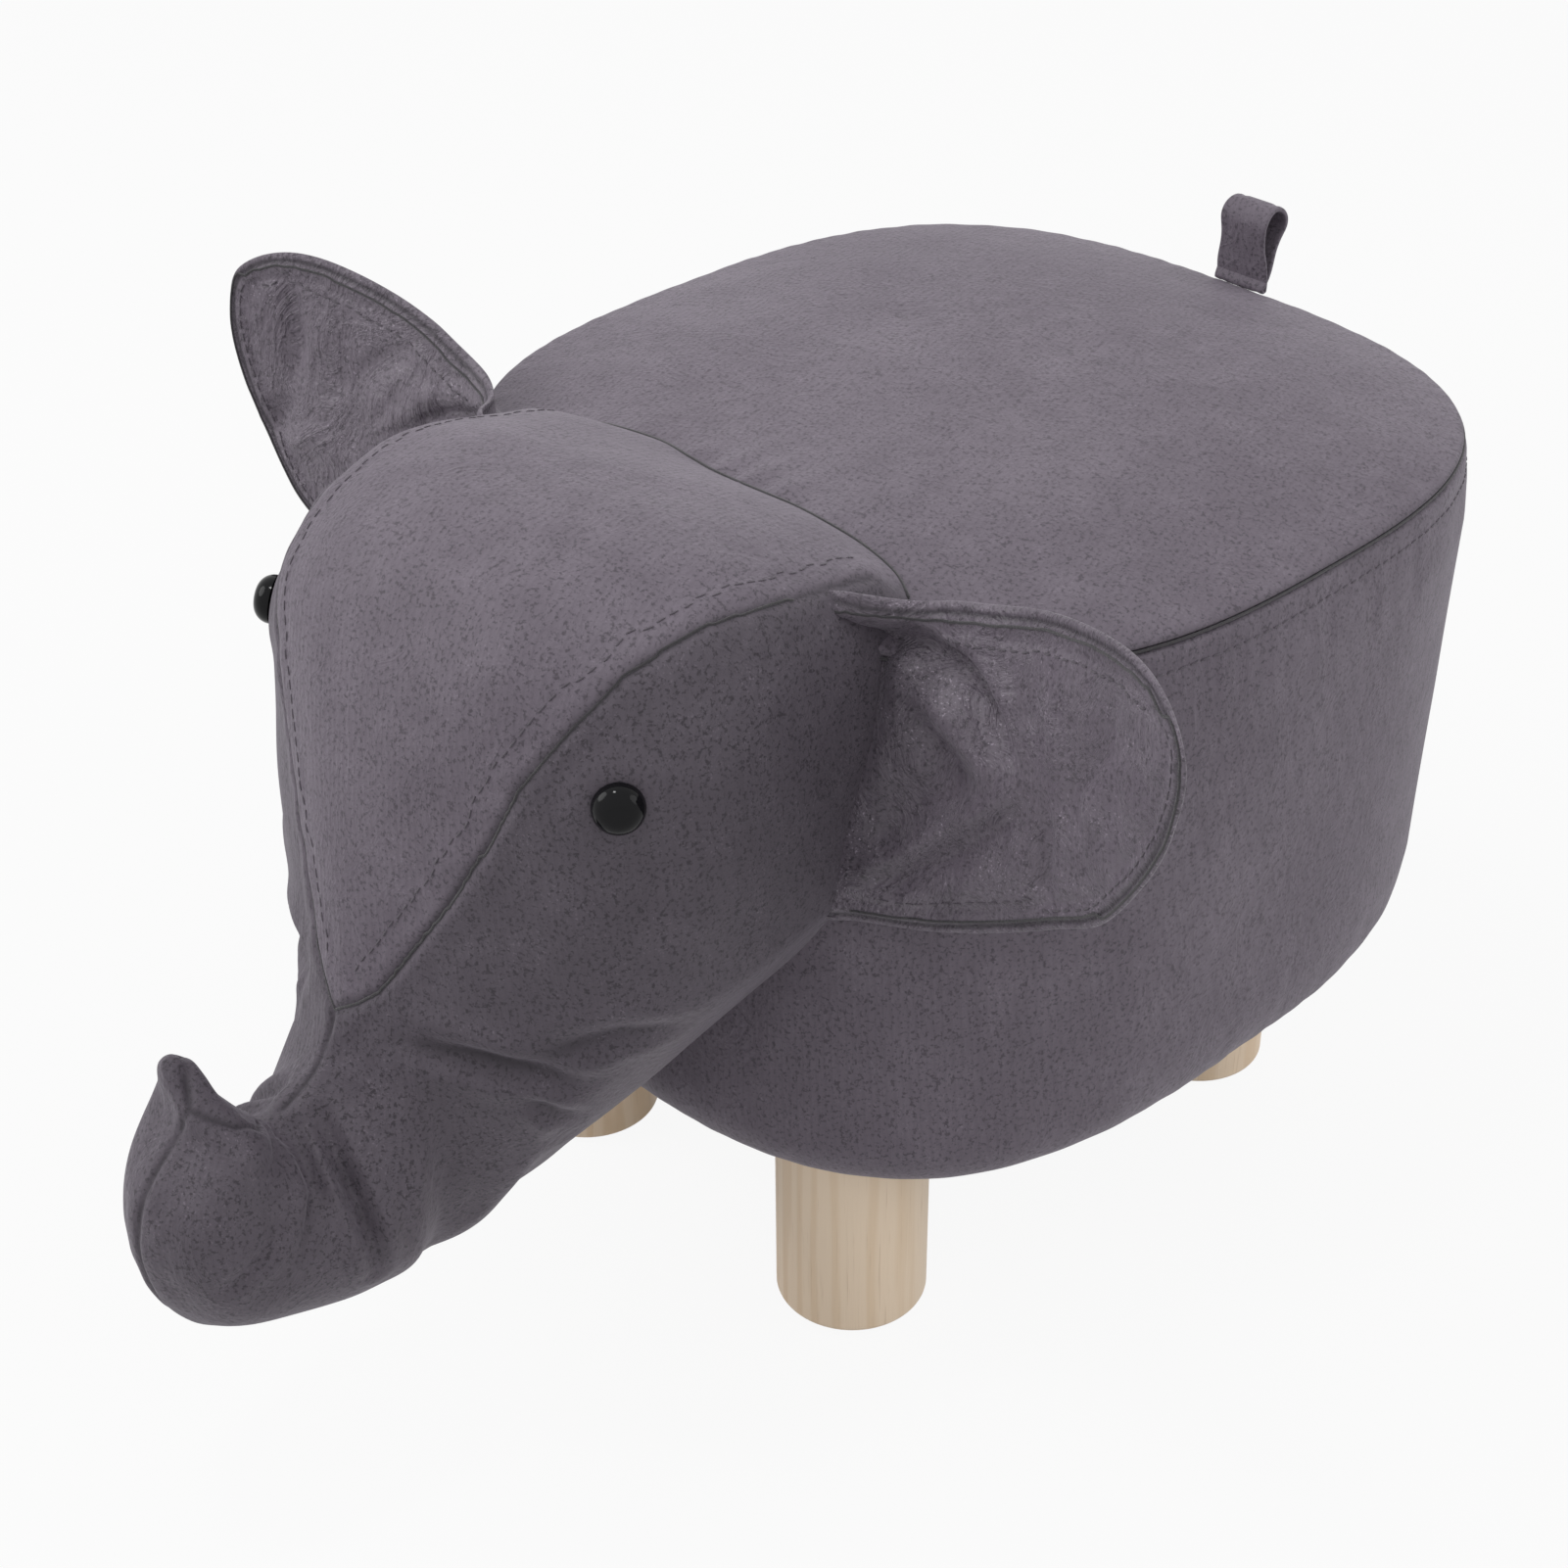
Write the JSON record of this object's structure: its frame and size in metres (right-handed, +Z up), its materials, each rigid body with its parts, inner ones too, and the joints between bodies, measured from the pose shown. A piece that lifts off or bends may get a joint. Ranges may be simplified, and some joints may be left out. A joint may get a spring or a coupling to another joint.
{
  "type": "animal shaped footstool",
  "caption": "Padded elephant shaped footstool with a stuffed head, curled trunk, flapping ears, tail loop and screwed round wooden legs.",
  "frame": {"origin": "middle of the footprint of the whole object on the floor, under the front of the body", "axes": "+Z up from the floor; -Y is the way the animal faces, from the tail to the trunk; +X to the animal's left"},
  "size_m": [0.474, 0.567, 0.348],
  "materials": {
    "suede_cloth": "matte suede-like cloth with a mottled grain",
    "foam": "open cell foam",
    "fibre": "loose white fibre",
    "dust_cloth": "black non-woven cloth",
    "felt": "pressed felt",
    "pine": "clear satin lacquer",
    "post_wood": "sawn",
    "plywood": "raw plywood",
    "black_plastic": "polished",
    "washer_plastic": "moulded",
    "zinc_steel": "zinc plated"
  },
  "bodies": {
    "stool": {"base_board": "plywood", "seat_board": "plywood", "left_panel": "plywood", "right_panel": "plywood", "front_panel": "plywood", "rear_panel": "plywood", "corner_post_front_left": "post_wood", "corner_post_rear_left": "post_wood", "corner_post_front_right": "post_wood", "corner_post_rear_right": "post_wood", "frame_screws": "zinc_steel", "tee_nut_front_left": "zinc_steel", "tee_nut_rear_left": "zinc_steel", "tee_nut_front_right": "zinc_steel", "tee_nut_rear_right": "zinc_steel", "side_foam": "foam", "seat_foam": "foam", "left_flank_cover": "suede_cloth", "right_flank_cover": "suede_cloth", "seat_cover": "suede_cloth", "dust_cover": "dust_cloth", "staples": "zinc_steel", "forehead_panel": "suede_cloth", "trunk_end_patch": "suede_cloth", "left_cheek_panel": "suede_cloth", "right_cheek_panel": "suede_cloth", "head_stuffing": "fibre", "trunk_stuffing": "fibre", "trunk_tip_stuffing": "fibre", "eye_left": "black_plastic", "eye_washer_left": "washer_plastic", "eye_right": "black_plastic", "eye_washer_right": "washer_plastic"},
    "ear_left": {"ear_lining_left": "suede_cloth", "ear_back_left": "suede_cloth"},
    "ear_right": {"ear_lining_right": "suede_cloth", "ear_back_right": "suede_cloth"},
    "tail": {"tail_loop": "suede_cloth"},
    "screwed_leg_front_left": {"leg_front_left": "pine", "hanger_bolt_front_left": "zinc_steel", "felt_glide_front_left": "felt"},
    "screwed_leg_rear_left": {"leg_rear_left": "pine", "hanger_bolt_rear_left": "zinc_steel", "felt_glide_rear_left": "felt"},
    "screwed_leg_front_right": {"leg_front_right": "pine", "hanger_bolt_front_right": "zinc_steel", "felt_glide_front_right": "felt"},
    "screwed_leg_rear_right": {"leg_rear_right": "pine", "hanger_bolt_rear_right": "zinc_steel", "felt_glide_rear_right": "felt"}
  },
  "joints": [
    {"name": "ear_left_flap", "type": "hinge", "parent": "stool", "child": "ear_left", "pos_m": [0.11, -0.053, 0.275], "axis": [0, 0, 1], "range_deg": [-30, 20], "stiffness_Nm_per_rad": 0.03},
    {"name": "ear_right_flap", "type": "hinge", "parent": "stool", "child": "ear_right", "pos_m": [-0.11, -0.053, 0.275], "axis": [0, 0, -1], "range_deg": [-30, 20], "stiffness_Nm_per_rad": 0.03},
    {"name": "tail_loop_tilt", "type": "hinge", "parent": "stool", "child": "tail", "pos_m": [0, 0.2755, 0.3013], "axis": [1, 0, 0], "range_deg": [-70, 30], "stiffness_Nm_per_rad": 0.01},
    {"name": "leg_front_left_unscrew", "type": "hinge", "parent": "stool", "child": "screwed_leg_front_left", "pos_m": [0.0776, -0.0255, 0.05], "axis": [0, 0, 1], "range_deg": [0, 360]},
    {"name": "leg_rear_left_unscrew", "type": "hinge", "parent": "stool", "child": "screwed_leg_rear_left", "pos_m": [0.0776, 0.1835, 0.05], "axis": [0, 0, 1], "range_deg": [0, 360]},
    {"name": "leg_front_right_unscrew", "type": "hinge", "parent": "stool", "child": "screwed_leg_front_right", "pos_m": [-0.0776, -0.0255, 0.05], "axis": [0, 0, 1], "range_deg": [0, 360]},
    {"name": "leg_rear_right_unscrew", "type": "hinge", "parent": "stool", "child": "screwed_leg_rear_right", "pos_m": [-0.0776, 0.1835, 0.05], "axis": [0, 0, 1], "range_deg": [0, 360]}
  ]
}
